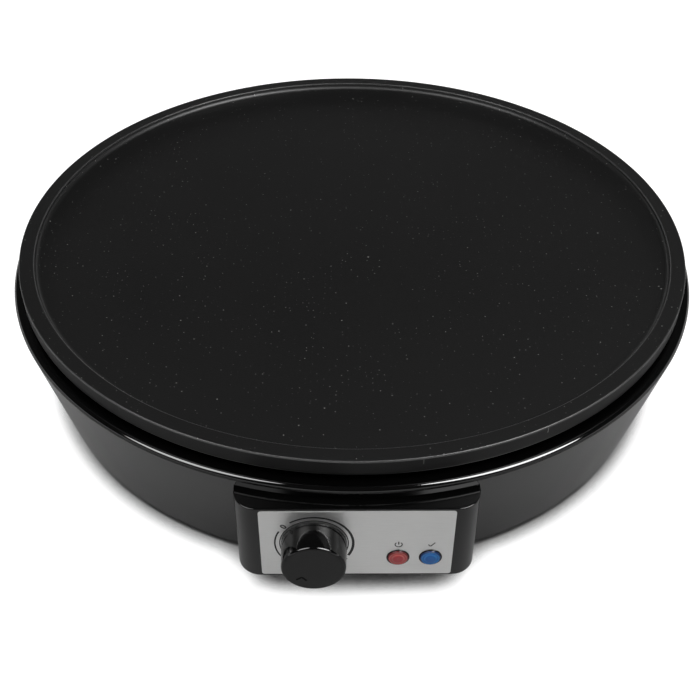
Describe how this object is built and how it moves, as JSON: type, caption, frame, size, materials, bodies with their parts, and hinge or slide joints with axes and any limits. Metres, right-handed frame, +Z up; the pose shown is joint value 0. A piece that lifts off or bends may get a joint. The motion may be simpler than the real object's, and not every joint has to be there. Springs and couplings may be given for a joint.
{
  "type": "electric crepe maker",
  "caption": "Round electric crepe maker: shallow non-stick hot plate on a tapered black housing, front control box with a dial thermostat and indicator lamps.",
  "frame": {"origin": "on the table, under the centre of the round cooking plate", "axes": "+Z up along the cooking plate's axis, -Y towards the control box and the user, +X to the user's right"},
  "size_m": [0.308, 0.3249, 0.068],
  "materials": {
    "nonstick": "die-cast, rough dark non-stick coating with pale flecks",
    "black_plastic": "injection moulded, glossy black",
    "knob_black": "moulded black, satin front face",
    "silver_panel": "silver lacquer, satin",
    "bezel_black": "moulded black",
    "red_lens": "tinted clear plastic",
    "blue_lens": "tinted clear plastic",
    "lamp_glass": "clear",
    "element_steel": "annealed sheath",
    "ceramic": "unglazed",
    "steel": "zinc plated",
    "aluminised_sheet": "rolled sheet",
    "base_black": "black lacquer on pressed steel",
    "rubber": "moulded",
    "brass": "stamped",
    "white_plastic": "moulded",
    "fuse_metal": "drawn can"
  },
  "bodies": {
    "cooker": {"cooking_plate": "nonstick", "heating_element": "element_steel", "element_seals": "ceramic", "element_tabs": "steel", "element_clamps": "steel", "strap_screws": "steel", "sensor_and_capillary": "brass", "sensor_clip": "steel", "thermal_fuse": "fuse_metal", "fuse_clip": "steel", "heat_shield": "aluminised_sheet", "lower_spacers": "steel", "upper_spacers": "steel", "plate_screws": "steel", "earth_tag": "brass", "earth_screw": "steel", "housing": "black_plastic", "control_box": "black_plastic", "box_screws": "steel", "control_panel": "silver_panel", "thermostat": "ceramic", "thermostat_tabs": "brass", "thermostat_screws": "steel", "terminal_block": "white_plastic", "terminal_ferrules": "brass", "terminal_screw": "steel", "cord_gland": "rubber", "bottom_cover": "base_black", "cover_screws": "steel", "power_bezel": "bezel_black", "power_lens": "red_lens", "power_lamp": "lamp_glass", "ready_bezel": "bezel_black", "ready_lens": "blue_lens", "ready_lamp": "lamp_glass", "foot_rear_right": "rubber", "foot_rear_left": "rubber", "foot_front_left": "rubber", "foot_front_right": "rubber"},
    "dial": {"knob": "knob_black", "knob_clip": "steel", "thermostat_shaft": "steel"}
  },
  "joints": [
    {"name": "dial_turn", "type": "hinge", "parent": "cooker", "child": "dial", "pos_m": [-0.01575, -0.155, 0.034], "axis": [0, 1, 0], "range_deg": [0, 260]}
  ]
}
